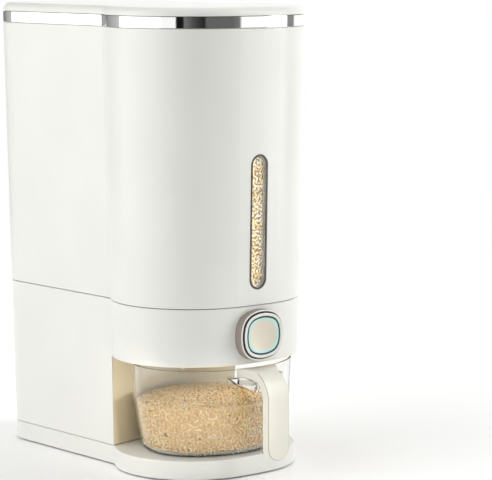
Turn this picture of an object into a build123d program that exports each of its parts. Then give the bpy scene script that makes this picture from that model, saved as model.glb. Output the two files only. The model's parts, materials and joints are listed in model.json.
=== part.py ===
from build123d import *
import os
from math import atan2, degrees, radians, sqrt, tan

# A countertop rice dispenser in millimetres. The front faces -Y and +Z is up.
# Pieces are drawn about the upright axis of the front drum, standing on z = 0,
# and moved at the end so that the origin is under the middle of the whole object.

# Plan of the body at the seam between base and bin
drum_half_width = 95.7
drum_side_radius = 78.6
drum_front_radius = 288.0
box_half_width = 79.9
rear_depth = 242.9
rear_corner_radius = 40.8
step_fillet = 12.3
draft_angle = 1.24

# Heights, stacked from the table upwards
foot_height = 1.6
plinth_height = 18.1
alcove_height = 90.9
chin_height = 55.4
bin_height = 264.5
band_height = 10.6
crown_height = 8.9

# Walls, panels and edges
wall = 3.0
deck_thickness = 3.0
cover_thickness = 2.5
ceiling_thickness = 2.4
flange_width = 8.0
flange_thickness = 3.0
seam_chamfer = 0.6
seam_reveal = 0.9
trim_reveal = 0.7
reveal_depth = 1.4
edge_radius = 1.2
alcove_depth = 59.5
alcove_radius = 259.0
alcove_wall_lap = 6.0

# Clearances
fit_gap = 0.2
trim_gap = 0.1
slide_gap = 0.4
stop_gap = 0.3
shaft_gap = 0.15
pin_gap = 0.05
seat_gap = 0.05

# How far a cut runs past the face that it opens
over = 1.0

# Feet and screws
foot_radius = 8.0
foot_recess = 1.5
foot_inset = 24.0
foot_front_inset = 38.0
screw_radius = 1.5
screw_head_radius = 2.8
screw_head_height = 1.9
screw_socket_radius = 1.3
screw_bite = 9.0
screw_end_gap = 1.0
boss_radius = 5.0
boss_lap = 1.6
boss_height = 16.0
cover_screw_inset = 20.0
cover_screw_rear_inset = 50.0

# Funnel, shutter and chute
funnel_slope = 30.0
funnel_side_slope = 40.0
funnel_thickness = 3.5
funnel_drop = 20.0
funnel_reach = 260.0
throat_wall = 3.0
throat_margin = 1.5
slot_length = 64.0
slot_count = 3
slot_overlap = 2.0
shutter_thickness = 3.0
gasket_thickness = 1.5
rail_width = 8.5
rail_step = 3.9
rail_ledge = 2.0
chute_flange_thickness = 2.0
chute_wall = 2.0
chute_drop = 1.2
chute_margin = 3.0

# Push button and its linkage
button_width = 52.5
button_corner = 18.7
button_side_radius = 36.0
button_top_radius = 40.0
button_travel = 8.0
collar_gap = 0.4
collar_wall = 1.5
collar_proud = 8.3
collar_depth = 8.7
collar_lug_width = 12.0
collar_lug_depth = 2.2
collar_lug_reach = 3.0
rim_play = 1.2
rim_proud = 2.0
rim_width = 2.9
rim_depth = 11.0
ring_width = 1.5
ring_set_back = 0.6
cap_set_back = 0.8
dish_depth = 1.8
carrier_thickness = 2.5
carrier_platform = 2.0
stem_radius = 4.0
spring_length = 15.5
spring_radius = 6.5
spring_wire_radius = 0.45
spring_turns = 4
guide_thickness = 3.0
guide_half_width = 26.0
guide_rise = 14.0
guide_foot_length = 11.0
guide_foot_thickness = 2.6
guide_screw_spacing = 36.0
arm_thickness = 6.0
arm_half_width = 8.0
arm_rise = 6.0

# Window in the front of the bin
window_rise = 15.6
window_length = 129.4
window_width = 20.7
frame_rim = 1.8
frame_proud = 0.3
lens_set_back = 0.4
retainer_lap = 3.5
retainer_thickness = 1.5
retainer_cover = 1.2

# Lid and hinge
lid_gap = 0.3
lid_wall = 2.6
band_thickness = 1.2
skirt_wall = 2.5
crown_inset = 0.4
crown_radius = 8.0
crown_rib = 3.2
panel_thickness = 2.0
plug_depth = 6.5
plug_wall = 2.0
seal_gap = 0.4
seal_width = 1.8
seal_height = 3.0
seal_lip = 1.5
lid_screw_inset = 40.0
hinge_pin_radius = 1.5
hinge_barrel_radius = 3.5
hinge_play = 0.5
hinge_centre_half = 19.6
hinge_side_width = 10.0
hinge_arm_height = 7.0
pin_head_radius = 2.4
pin_head_width = 1.2
finger_relief_width = 28.0
finger_relief_height = 1.2
finger_relief_depth = 1.6

# Measuring cup and handle
cup_half_width = 83.4
cup_side_radius = 60.0
cup_front_radius = 98.6
cup_centre = -10.5
cup_upper_height = 34.0
cup_upper_draft = 2.0
cup_lower_draft = 9.4
cup_shoulder_radius = 60.0
cup_rim_gap = 4.9
cup_seat_gap = 0.1
cup_wall = 2.2
cup_floor = 3.0
cup_foot_radius = 9.0
handle_reach = 32.0
handle_thickness = 8.4
handle_width = 26.5
handle_root_width = 46.0
handle_flare_length = 16.0
handle_bend_radius = 29.0
handle_rise = 1.2
handle_drop = 0.5
handle_edge = 0.8
tongue_inset = 1.0
tongue_drop = 6.4
tongue_length = 12.0
lug_root_width = 66.0
lug_depth = 14.4
lug_radius = 45.0
lug_length = 21.0
lug_seat = 3.0
lug_screw_spacing = 15.0
lug_screw_reach = 9.0

# Levels worked out from the stack of heights
deck_z = foot_height + plinth_height
chin_z = deck_z + alcove_height
seam_z = chin_z + chin_height
rim_z = seam_z + bin_height
band_top_z = rim_z + band_height
top_z = band_top_z + crown_height
button_z = (chin_z + seam_z) / 2
cover_top_z = foot_height + cover_thickness
ceiling_z = chin_z + slide_gap
ceiling_top_z = ceiling_z + ceiling_thickness

# Levels of the shutter stack, from the ceiling panel up to the funnel
rail_z = ceiling_top_z + chute_flange_thickness
gate_z = rail_z + rail_ledge + fit_gap
gate_top_z = gate_z + shutter_thickness
plate_z = gate_top_z + slide_gap
plate_top_z = plate_z + shutter_thickness
throat_z = plate_top_z + gasket_thickness
funnel_z = seam_z - funnel_drop

# Sizes worked out for the shutter
slot_width = button_travel - slot_overlap
slot_pitch = 2 * button_travel
slots_half_span = (slot_count - 1) * slot_pitch / 2 + slot_width / 2
throat_half_x = slot_length / 2 + throat_margin
throat_half_y = slots_half_span + throat_margin
chute_half_x = slot_length / 2 + chute_margin
chute_half_y = slots_half_span + chute_margin
rail_inner_x = chute_half_x + throat_margin
gate_half_x = rail_inner_x + rail_step
rail_outer_x = rail_inner_x + rail_width
rail_half_y = slots_half_span + button_travel + slot_overlap


def growth(z):
    """Outward growth of the body's outline at a height, zero at the seam."""
    return tan(radians(draft_angle)) * (z - seam_z)


def drum_front_depth():
    """Distance from the drum axis to the front face at the seam."""
    side_offset = drum_half_width - drum_side_radius
    return drum_front_radius - sqrt((drum_front_radius - drum_side_radius) ** 2 - side_offset ** 2)


def front_y(z):
    return -drum_front_depth() - growth(z)


def rear_y(z):
    return rear_depth + growth(z)


def outline(grow):
    """Plan of the body: rounded drum in front, narrower box behind, joined by a small step."""
    side_x = drum_half_width - drum_side_radius
    front_centre_y = drum_front_radius - drum_front_depth()
    tangent = degrees(atan2(-front_centre_y, side_x))
    fillet_x = box_half_width + step_fillet
    fillet_y = sqrt((drum_side_radius + step_fillet) ** 2 - (fillet_x - side_x) ** 2)
    turn = degrees(atan2(fillet_y, fillet_x - side_x))
    corner_x = box_half_width - rear_corner_radius
    corner_y = rear_depth - rear_corner_radius
    half = [
        CenterArc((side_x, 0), drum_side_radius + grow, tangent, turn - tangent),
        CenterArc((fillet_x, fillet_y), step_fillet - grow, turn + 180, -turn),
        Line((box_half_width + grow, fillet_y), (box_half_width + grow, corner_y)),
        CenterArc((corner_x, corner_y), rear_corner_radius + grow, 0, 90),
    ]
    other_half = [mirror(edge, about=Plane.YZ) for edge in half]
    front = CenterArc((0, front_centre_y), drum_front_radius + grow, -180 - tangent, 2 * (tangent + 90))
    rear = Line((corner_x, rear_depth + grow), (-corner_x, rear_depth + grow))
    return make_face([front, *half, rear, *other_half])


def body(z0, z1, inset=0.0):
    """Solid of the tapered body between two heights, drawn in by inset all round."""
    lower = Pos(0, 0, z0) * outline(growth(z0) - inset)
    upper = Pos(0, 0, z1) * outline(growth(z1) - inset)
    return loft([lower, upper], ruled=True)


def body_ring(z0, z1, outer_inset, inner_inset):
    """Wall between two insets of the tapered body."""
    return body(z0, z1, outer_inset) - body(z0 - over, z1 + over, inner_inset)


def block(x0, x1, y0, y1, z0, z1):
    return Pos((x0 + x1) / 2, (y0 + y1) / 2, (z0 + z1) / 2) * Box(x1 - x0, y1 - y0, z1 - z0)


def rod(x, y, z0, z1, radius):
    return Pos(x, y, (z0 + z1) / 2) * Cylinder(radius, z1 - z0)


def rod_x(x0, x1, y, z, radius):
    return Pos((x0 + x1) / 2, y, z) * Rot(0, 90, 0) * Cylinder(radius, x1 - x0)


def rod_y(x, y0, y1, z, radius):
    return Pos(x, (y0 + y1) / 2, z) * Rot(90, 0, 0) * Cylinder(radius, y1 - y0)


def prism_y(face, y0, y1):
    """Extrude a face drawn in X and Z between two depths."""
    return extrude(Plane.XZ.offset(-y1) * face, amount=y1 - y0)


def mirrored(points):
    """Each point and its mirror image about the middle plane."""
    return [(side * x, y) for x, y in points for side in (-1, 1)]


def bottom_edges(part):
    return part.faces().sort_by(Axis.Z)[0].outer_wire().edges()


def top_edges(part):
    return part.faces().sort_by(Axis.Z)[-1].outer_wire().edges()


def screw(x, y, seat_z, length, up=True):
    """Pan-head screw with a hex socket: the head sits on seat_z, the shank goes up or down."""
    way = 1 if up else -1
    shank = rod(x, y, min(seat_z, seat_z + way * length), max(seat_z, seat_z + way * length), screw_radius)
    head_end = seat_z - way * screw_head_height
    head = rod(x, y, min(seat_z, head_end), max(seat_z, head_end), screw_head_radius)
    socket_end = head_end + way * screw_head_height / 2
    socket = rod(x, y, min(head_end, socket_end), max(head_end, socket_end), screw_socket_radius)
    return shank + head - socket


def screw_holes(points, z0, z1):
    return [rod(x, y, z0, z1, screw_radius + trim_gap) for x, y in points]


# Where the screws and feet stand in plan
foot_points = mirrored([
    (box_half_width - foot_inset, front_y(foot_height) + foot_front_inset),
    (box_half_width - foot_inset, rear_y(foot_height) - foot_inset),
])
cover_screw_points = mirrored([
    (box_half_width - cover_screw_inset, 0),
    (box_half_width - cover_screw_inset, alcove_depth + cover_screw_inset),
    (box_half_width - cover_screw_inset, rear_depth - cover_screw_rear_inset),
])
housing_boss_x = box_half_width + growth(deck_z) - wall - boss_radius + boss_lap
housing_screw_points = mirrored([
    (housing_boss_x, alcove_depth + 2 * boss_radius),
    (housing_boss_x, rear_depth - rear_corner_radius - boss_radius),
])
drum_boss_x = drum_half_width + growth(ceiling_z) - wall - boss_radius + boss_lap
drum_boss_arm = drum_boss_x - (drum_half_width - drum_side_radius)
ceiling_screw_points = mirrored([
    (drum_boss_x, 0),
    (drum_boss_x - drum_boss_arm * (1 - sqrt(0.5)), -drum_boss_arm * sqrt(0.5)),
])
flange_inset = wall + flange_width / 2
bin_screw_points = mirrored([
    (drum_half_width - flange_inset, 0),
    (box_half_width - flange_inset, (alcove_depth + rear_depth) / 2),
    ((box_half_width - rear_corner_radius) / 2, rear_depth - flange_inset),
])
gate_screw_points = mirrored([
    ((gate_half_x + slide_gap + rail_outer_x) / 2, rail_half_y - boss_radius),
    ((gate_half_x + slide_gap + rail_outer_x) / 2, boss_radius - rail_half_y),
])
lid_screw_points = mirrored([
    (box_half_width - lid_screw_inset, 0),
    (box_half_width - lid_screw_inset, rear_depth - lid_screw_inset),
])


# Base: plinth, cover and feet
def make_base_plinth():
    shell = body(foot_height, deck_z)
    shell = fillet(top_edges(shell), edge_radius)
    shell = chamfer(bottom_edges(shell), seam_chamfer)
    part = shell - body(foot_height - over, deck_z - deck_thickness, wall)
    for x, y in cover_screw_points:
        part += rod(x, y, cover_top_z, deck_z - deck_thickness, boss_radius)
    bite_z = foot_height + screw_head_height + screw_bite
    part -= screw_holes(cover_screw_points, cover_top_z - over, bite_z)
    part -= screw_holes(housing_screw_points, deck_z - deck_thickness - over, deck_z + over)
    return part


def make_bottom_cover():
    part = body(foot_height, cover_top_z, wall + fit_gap)
    for x, y in foot_points:
        part -= rod(x, y, foot_height - over, foot_height + foot_recess, foot_radius + fit_gap)
    for x, y in cover_screw_points:
        part -= rod(x, y, foot_height - over, foot_height + screw_head_height, screw_head_radius + fit_gap)
    part -= screw_holes(cover_screw_points, foot_height, cover_top_z + over)
    return part


def make_rubber_feet():
    feet = Part()
    for x, y in foot_points:
        foot = rod(x, y, 0, foot_height + foot_recess, foot_radius)
        feet += chamfer(bottom_edges(foot), foot_height / 3)
    return feet


def make_cover_screws():
    seat_z = foot_height + screw_head_height
    return Part() + [screw(x, y, seat_z, screw_bite - screw_end_gap) for x, y in cover_screw_points]


# Base: housing with its chin and column, and the panel under the chin
def alcove_drum(z0, z1, radius):
    return rod(0, alcove_depth - alcove_radius, z0, z1, radius)


def button_opening(depth_y):
    return button_prism(-fit_gap, front_y(button_z) - collar_proud, depth_y)


def seam_flange(z0, z1):
    """Inward flange at the seam, bevelled where the funnel passes."""
    ring = body_ring(z0, z1, wall / 2, wall + flange_width)
    return ring - funnel_cone(funnel_z - funnel_thickness - fit_gap)


def make_base_housing():
    part = body(deck_z, seam_z)
    part = chamfer(top_edges(part), seam_chamfer)
    part -= body_ring(deck_z - over, deck_z + trim_reveal, -over, reveal_depth)
    part -= body(deck_z - over, seam_z + over, wall)
    part += seam_flange(seam_z - flange_thickness, seam_z)
    lap_z = ceiling_top_z + alcove_wall_lap
    alcove_wall = alcove_drum(deck_z, lap_z, alcove_radius + wall)
    alcove_wall -= alcove_drum(deck_z, lap_z, alcove_radius)
    part += alcove_wall & body(deck_z, lap_z, wall / 2)
    part -= alcove_drum(deck_z - over, chin_z, alcove_radius)
    for x, y in housing_screw_points:
        part += rod(x, y, deck_z, deck_z + boss_height, boss_radius)
    for x, y in ceiling_screw_points:
        part += rod(x, y, ceiling_top_z, ceiling_top_z + boss_height, boss_radius)
    part -= screw_holes(housing_screw_points, deck_z - over, deck_z + screw_bite)
    part -= screw_holes(ceiling_screw_points, ceiling_z, ceiling_top_z + screw_bite)
    part -= screw_holes(bin_screw_points, seam_z - flange_thickness - over, seam_z + over)
    part -= button_opening(collar_rear_y + slide_gap)
    return part


def make_housing_screws():
    seat_z = deck_z - deck_thickness
    length = deck_thickness + screw_bite - screw_end_gap
    return Part() + [screw(x, y, seat_z, length) for x, y in housing_screw_points]


def make_alcove_ceiling():
    part = body(ceiling_z, ceiling_top_z, wall + fit_gap)
    part &= alcove_drum(ceiling_z - over, ceiling_top_z + over, alcove_radius - fit_gap)
    hole_x = chute_half_x + chute_wall + fit_gap
    hole_y = chute_half_y + chute_wall + fit_gap
    part -= block(-hole_x, hole_x, -hole_y, hole_y, ceiling_z - over, ceiling_top_z + over)
    part -= screw_holes(ceiling_screw_points, ceiling_z - over, ceiling_top_z + over)
    part -= screw_holes(guide_screw_points, ceiling_z - over, ceiling_top_z + over)
    part -= button_opening(collar_rear_y + slide_gap)
    return part


def make_ceiling_screws():
    length = ceiling_thickness + screw_bite - screw_end_gap
    return Part() + [screw(x, y, ceiling_z, length) for x, y in ceiling_screw_points]


# Shutter stack: chute, rails, gate, slotted plate and gasket
def slots(z0, z1, shift):
    first = -(slot_count - 1) * slot_pitch / 2 + shift
    half = slot_width / 2
    places = [first + slot_pitch * number for number in range(slot_count)]
    return [block(-slot_length / 2, slot_length / 2, y - half, y + half, z0, z1) for y in places]


def make_drop_chute():
    flange = block(-rail_outer_x, rail_outer_x, -rail_half_y, rail_half_y, ceiling_top_z, rail_z)
    tube_x = chute_half_x + chute_wall
    tube_y = chute_half_y + chute_wall
    part = flange + block(-tube_x, tube_x, -tube_y, tube_y, chin_z - chute_drop, rail_z)
    part -= block(-chute_half_x, chute_half_x, -chute_half_y, chute_half_y,
                  chin_z - chute_drop - over, rail_z + over)
    part -= screw_holes(gate_screw_points, ceiling_top_z - over, rail_z + over)
    return part


def make_gate_rail_right():
    part = block(rail_inner_x, rail_outer_x, -rail_half_y, rail_half_y, rail_z, plate_z)
    part -= block(rail_inner_x - over, gate_half_x + slide_gap, -rail_half_y - over, rail_half_y + over,
                  rail_z + rail_ledge, plate_z + over)
    part -= screw_holes(gate_screw_points, rail_z - over, plate_z + over)
    return part


def make_gate_rail_left():
    return mirror(make_gate_rail_right(), about=Plane.YZ)


def make_outlet_plate():
    part = block(-rail_outer_x, rail_outer_x, -rail_half_y, rail_half_y, plate_z, plate_top_z)
    part -= slots(plate_z - over, plate_top_z + over, 0)
    part -= screw_holes(gate_screw_points, plate_z - over, plate_top_z + over)
    return part


def make_gate_plate():
    gate_front = -slots_half_span - button_travel - slot_overlap
    gate_rear = slots_half_span + slot_overlap
    part = block(-gate_half_x, gate_half_x, gate_front, gate_rear, gate_z, gate_top_z)
    part += block(-arm_half_width, arm_half_width, arm_front_y, gate_front, gate_z, gate_top_z)
    part -= slots(gate_z - over, gate_top_z + over, -button_travel)
    part -= rod(0, arm_middle_y, gate_z - over, gate_z + screw_head_height, screw_head_radius + trim_gap)
    part -= screw_holes([(0, arm_middle_y)], gate_z, gate_top_z + over)
    return part


def make_arm_screw():
    length = shutter_thickness - screw_head_height + screw_bite - screw_end_gap
    return screw(0, arm_middle_y, gate_z + screw_head_height, length)


def make_gate_screws():
    length = plate_top_z - ceiling_top_z - slide_gap
    return Part() + [screw(x, y, plate_top_z, length, up=False) for x, y in gate_screw_points]


def throat(z0, z1, grow):
    half_x = throat_half_x + grow
    half_y = throat_half_y + grow
    return block(-half_x, half_x, -half_y, half_y, z0, z1)


def make_funnel_gasket():
    part = throat(plate_top_z, throat_z, throat_wall)
    part -= throat(plate_top_z - over, throat_z + over, 0)
    return part


def funnel_cone(base_z):
    """Four sloping planes that open upwards from the throat."""
    rise_x = 2 * funnel_reach / tan(radians(funnel_side_slope))
    rise_y = 2 * funnel_reach / tan(radians(funnel_slope))
    lower = Pos(0, 0, base_z) * Rectangle(2 * throat_half_x, 2 * throat_half_y)
    upper = Pos(0, 0, base_z + funnel_reach) * Rectangle(
        2 * throat_half_x + rise_x, 2 * throat_half_y + rise_y)
    return loft([lower, upper], ruled=True)


def make_hopper_funnel():
    part = funnel_cone(funnel_z - funnel_thickness) - funnel_cone(funnel_z)
    part += throat(throat_z, funnel_z, throat_wall)
    part &= body(throat_z, rim_z, wall + fit_gap)
    part -= throat(throat_z - over, funnel_z, 0)
    part -= prism_y(window_shape(retainer_lap + fit_gap), front_y(rim_z), retainer_rear_y)
    return part


# Push button and its linkage, placed along Y from the front of the chin
button_height = chin_height - 2 * (flange_thickness + collar_gap)
collar_front_y = front_y(button_z) - collar_proud
collar_rear_y = front_y(button_z) + collar_depth
rim_front_y = collar_front_y - rim_proud
rim_rear_y = rim_front_y + rim_depth
cap_rear_y = rim_rear_y - carrier_platform
carrier_rear_y = rim_rear_y + carrier_thickness
guide_front_y = carrier_rear_y + spring_length
guide_rear_y = guide_front_y + guide_thickness
arm_front_y = guide_rear_y + stop_gap
arm_rear_y = arm_front_y + arm_thickness
arm_middle_y = (arm_front_y + arm_rear_y) / 2
guide_screw_points = mirrored([(guide_screw_spacing / 2, guide_rear_y + guide_foot_length / 2)])
rim_inset = collar_wall + rim_play
ring_inset = rim_inset + rim_width + trim_gap
cap_inset = ring_inset + ring_width + trim_gap
retainer_rear_y = front_y(seam_z) + wall + retainer_thickness + slide_gap


def button_face(inset):
    """Rounded square with bulging sides, drawn in by inset: four broad arcs joined by four corner arcs."""
    side_x = button_width / 2 - button_side_radius
    top_y = button_height / 2 - button_top_radius
    # A corner's centre is where the circles of centres that touch the side and the top cross
    from_side = button_side_radius - button_corner
    from_top = button_top_radius - button_corner
    apart = sqrt(side_x ** 2 + top_y ** 2)
    along = (from_side ** 2 - from_top ** 2 + apart ** 2) / (2 * apart)
    across = sqrt(from_side ** 2 - along ** 2)
    corner_x = side_x - (along * side_x + across * top_y) / apart
    corner_y = (along * top_y - across * side_x) / apart
    side_turn = degrees(atan2(corner_y, corner_x - side_x))
    top_turn = degrees(atan2(corner_x, corner_y - top_y))
    corner_turn = 90 - side_turn - top_turn
    right_half = [
        CenterArc((corner_x, -corner_y), button_corner - inset, 270 + top_turn, corner_turn),
        CenterArc((side_x, 0), button_side_radius - inset, -side_turn, 2 * side_turn),
        CenterArc((corner_x, corner_y), button_corner - inset, side_turn, corner_turn),
    ]
    left_half = [mirror(edge, about=Plane.YZ) for edge in right_half]
    top = CenterArc((0, top_y), button_top_radius - inset, 90 - top_turn, 2 * top_turn)
    bottom = CenterArc((0, -top_y), button_top_radius - inset, 270 - top_turn, 2 * top_turn)
    return Pos(0, button_z) * make_face([*right_half, top, *left_half, bottom])


def button_prism(inset, y0, y1):
    """Outline of the button, drawn in by inset, between two depths."""
    return prism_y(button_face(inset), y0, y1)


def front_edges(part):
    return part.faces().sort_by(Axis.Y)[0].edges()


def make_button_collar():
    part = button_prism(0, collar_front_y, collar_rear_y)
    part -= button_prism(collar_wall, collar_front_y - over, collar_rear_y + over)
    part = fillet(front_edges(part), collar_wall / 3)
    half_span = button_width / 2 + collar_lug_reach
    half_lug = collar_lug_width / 2
    lugs = block(-half_span, half_span, collar_rear_y - collar_lug_depth, collar_rear_y,
                 button_z - half_lug, button_z + half_lug)
    return part + (lugs - button_prism(collar_wall, collar_front_y, collar_rear_y + over))


def make_button_rim():
    part = button_prism(rim_inset, rim_front_y, rim_rear_y)
    part -= button_prism(rim_inset + rim_width, rim_front_y - over, rim_rear_y + over)
    return fillet(front_edges(part), rim_width / 3)


def make_button_ring():
    part = button_prism(ring_inset, rim_front_y + ring_set_back, cap_rear_y)
    part -= button_prism(ring_inset + ring_width, rim_front_y, cap_rear_y + over)
    return part


def make_button_cap():
    front = rim_front_y + cap_set_back
    part = button_prism(cap_inset, front, cap_rear_y)
    half_chord = button_width / 2 - cap_inset - ring_width
    dish_radius = (half_chord ** 2 + dish_depth ** 2) / (2 * dish_depth)
    part -= Pos(0, front + dish_depth - dish_radius, button_z) * Sphere(dish_radius)
    part -= rod_y(0, cap_rear_y - screw_head_height - slide_gap, cap_rear_y + over, button_z,
                  screw_head_radius + slide_gap)
    return part


def make_button_carrier():
    part = button_prism(rim_inset, rim_rear_y, carrier_rear_y)
    part += button_prism(ring_inset, cap_rear_y, rim_rear_y)
    part -= rod_y(0, cap_rear_y - over, carrier_rear_y + over, button_z, screw_radius + trim_gap)
    return part


def make_button_screw():
    turned = screw(0, 0, 0, carrier_platform + carrier_thickness + screw_bite - screw_end_gap)
    return Pos(0, cap_rear_y, button_z) * Rot(-90, 0, 0) * turned


def make_push_rod():
    part = rod_y(0, carrier_rear_y, arm_rear_y, button_z, stem_radius)
    part += block(-arm_half_width, arm_half_width, arm_front_y, arm_rear_y, gate_top_z,
                  button_z + stem_radius + arm_rise)
    pilot_end = carrier_rear_y + screw_bite
    part -= rod_y(0, carrier_rear_y - over, pilot_end, button_z, screw_radius + trim_gap)
    part -= screw_holes([(0, arm_middle_y)], gate_top_z - over, gate_top_z + screw_bite)
    return part


def make_stem_guide():
    part = block(-guide_half_width, guide_half_width, guide_front_y, guide_rear_y, ceiling_top_z,
                 button_z + guide_rise)
    part += block(-guide_half_width, guide_half_width, guide_rear_y, guide_rear_y + guide_foot_length,
                  ceiling_top_z, ceiling_top_z + guide_foot_thickness)
    part -= rod_y(0, guide_front_y - over, guide_rear_y + over, button_z, stem_radius + shaft_gap)
    foot_top_z = ceiling_top_z + guide_foot_thickness
    part -= screw_holes(guide_screw_points, ceiling_top_z - over, foot_top_z + over)
    return part


def make_guide_screws():
    seat_z = ceiling_top_z + guide_foot_thickness
    length = guide_foot_thickness + ceiling_thickness - slide_gap
    return Part() + [screw(x, y, seat_z, length, up=False) for x, y in guide_screw_points]


def make_return_spring():
    height = spring_length - 2 * spring_wire_radius - 2 * seat_gap
    pitch = height / spring_turns
    start = carrier_rear_y + spring_wire_radius + seat_gap
    path = Helix(pitch, height, spring_radius, center=(0, start, button_z), direction=(0, 1, 0))
    section = Plane(origin=path @ 0, z_dir=path % 0) * Circle(spring_wire_radius)
    print("return spring gap between turns", round(pitch - 2 * spring_wire_radius, 2))
    return sweep(section, path=path, is_frenet=True)


# Bin with its window
def window_shape(grow):
    """Upright slot in the front face, grown by grow all round."""
    centre_z = seam_z + window_rise + window_length / 2
    slot = SlotOverall(window_length + 2 * grow, window_width + 2 * grow, rotation=90)
    return Pos(0, centre_z) * slot


def window_piece(outer_grow, inner_grow, front_inset, back_inset):
    """Piece of the bin's curved front between two insets, cut to the window's slot shape."""
    near = front_y(rim_z) - over
    far = retainer_rear_y
    piece = prism_y(window_shape(outer_grow), near, far)
    if inner_grow is not None:
        piece -= prism_y(window_shape(inner_grow), near, far)
    return piece & body_ring(seam_z, rim_z, front_inset, back_inset)


def make_window_frame():
    return window_piece(0, -frame_rim, -frame_proud, wall)


def make_window_lens():
    return window_piece(-frame_rim - trim_gap, None, lens_set_back, wall)


def make_window_retainer():
    back = wall + trim_gap
    return window_piece(retainer_lap, -frame_rim - retainer_cover, back, back + retainer_thickness)


def hinge_y():
    return rear_y(rim_z) + hinge_barrel_radius + hinge_play


def hinge_z():
    return rim_z + lid_gap / 2


def make_bin_shell():
    part = body(seam_z, rim_z)
    part -= body_ring(seam_z - over, seam_z + seam_reveal, -over, reveal_depth)
    part -= body_ring(rim_z - trim_reveal, rim_z + over, -over, reveal_depth)
    part -= body(seam_z - over, rim_z + over, wall)
    part += seam_flange(seam_z, seam_z + flange_thickness)
    part -= prism_y(window_shape(trim_gap), front_y(rim_z) - over, front_y(seam_z) + wall + flange_width)
    half_relief = finger_relief_width / 2
    part -= block(-half_relief, half_relief, front_y(rim_z) - over, front_y(rim_z) + finger_relief_depth,
                  rim_z - finger_relief_height, rim_z + over)
    inner_x = hinge_centre_half + slide_gap
    outer_x = inner_x + hinge_side_width
    for side in (-1, 1):
        x0 = min(side * inner_x, side * outer_x)
        x1 = max(side * inner_x, side * outer_x)
        part += block(x0, x1, rear_y(rim_z) - wall / 2, hinge_y(),
                      rim_z - hinge_arm_height, rim_z - lid_gap)
        part += rod_x(x0, x1, hinge_y(), hinge_z(), hinge_barrel_radius)
    part -= rod_x(-outer_x - over, outer_x + over, hinge_y(), hinge_z(), hinge_pin_radius + pin_gap)
    part -= screw_holes(bin_screw_points, seam_z - over, seam_z + flange_thickness - slide_gap)
    return part


def make_bin_screws():
    seat_z = seam_z - flange_thickness
    length = 2 * flange_thickness - 2 * slide_gap
    return Part() + [screw(x, y, seat_z, length) for x, y in bin_screw_points]


def make_hinge_pin():
    half = hinge_centre_half + slide_gap + hinge_side_width + slide_gap
    part = rod_x(-half, half, hinge_y(), hinge_z(), hinge_pin_radius)
    for side in (-1, 1):
        ends = sorted((side * half, side * (half + pin_head_width)))
        part += rod_x(*ends, hinge_y(), hinge_z(), pin_head_radius)
    return part


# Lid: crown with skirt, bright band, inner panel with plug, and seal
lid_base_z = rim_z + lid_gap
skirt_inset = band_thickness + trim_gap
skirt_inner = skirt_inset + skirt_wall
panel_z = lid_base_z + lid_gap
panel_top_z = panel_z + panel_thickness
seal_inset = wall + seal_gap
plug_inset = seal_inset + seal_width
arm_top_z = lid_base_z + hinge_arm_height


def make_lid_top():
    crown = body(band_top_z, top_z, crown_inset)
    crown = fillet(top_edges(crown), min(crown_radius, crown_height - edge_radius / 2))
    crown -= body_ring(band_top_z - over, band_top_z + trim_reveal, -over, crown_inset + reveal_depth)
    part = crown + body(lid_base_z, band_top_z, skirt_inset)
    part -= body(lid_base_z - over, band_top_z, skirt_inner)
    part -= body(band_top_z - over, top_z - lid_wall, skirt_inner + crown_rib)
    for x, y in lid_screw_points:
        part += rod(x, y, panel_top_z, top_z - lid_wall / 2, boss_radius)
    part += block(-hinge_centre_half, hinge_centre_half, rear_y(rim_z) - skirt_inner, hinge_y(),
                  lid_base_z, arm_top_z)
    part += rod_x(-hinge_centre_half, hinge_centre_half, hinge_y(), hinge_z(), hinge_barrel_radius)
    part -= rod_x(-hinge_centre_half - over, hinge_centre_half + over, hinge_y(), hinge_z(),
                  hinge_pin_radius + pin_gap)
    part -= screw_holes(lid_screw_points, panel_top_z - over, panel_top_z + screw_bite)
    return part


def make_lid_band():
    part = body_ring(lid_base_z, band_top_z, 0, band_thickness)
    half = hinge_centre_half + fit_gap
    part -= block(-half, half, rear_y(rim_z) - skirt_inner, hinge_y(), rim_z, arm_top_z + fit_gap)
    return part


def make_lid_inner():
    part = body(panel_z, panel_top_z, skirt_inner + fit_gap)
    part += body_ring(rim_z - plug_depth, panel_z, plug_inset, plug_inset + plug_wall)
    lip_z = rim_z - plug_depth + seal_lip
    part += body_ring(rim_z - plug_depth, lip_z, seal_inset + trim_gap, plug_inset + plug_wall)
    part -= screw_holes(lid_screw_points, panel_z - over, panel_top_z + over)
    return part


def make_lid_seal():
    seal_z = rim_z - plug_depth + seal_lip
    return body_ring(seal_z, seal_z + seal_height, seal_inset, plug_inset - seat_gap)


def make_lid_screws():
    length = panel_thickness + screw_bite - screw_end_gap
    return Part() + [screw(x, y, panel_z, length) for x, y in lid_screw_points]


# Measuring cup and handle
cup_z = deck_z + cup_seat_gap
cup_rim_z = chin_z - cup_rim_gap
shoulder_z = cup_rim_z - cup_upper_height
strap_top_z = cup_rim_z + handle_rise
strap_under_z = strap_top_z - handle_thickness
strap_end_z = deck_z + handle_drop


def cup_growth(z):
    """Outward growth of the cup's outline at a height, zero at the rim: nearly upright above the shoulder."""
    upper = tan(radians(cup_upper_draft)) * (max(z, shoulder_z) - cup_rim_z)
    lower = tan(radians(cup_lower_draft)) * (min(z, shoulder_z) - shoulder_z)
    return upper + lower


def cup_half_depth():
    side_x = cup_half_width - cup_side_radius
    return cup_front_radius - sqrt((cup_front_radius - cup_side_radius) ** 2 - side_x ** 2)


def cup_front_y(z):
    return cup_centre - cup_half_depth() - cup_growth(z)


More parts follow.
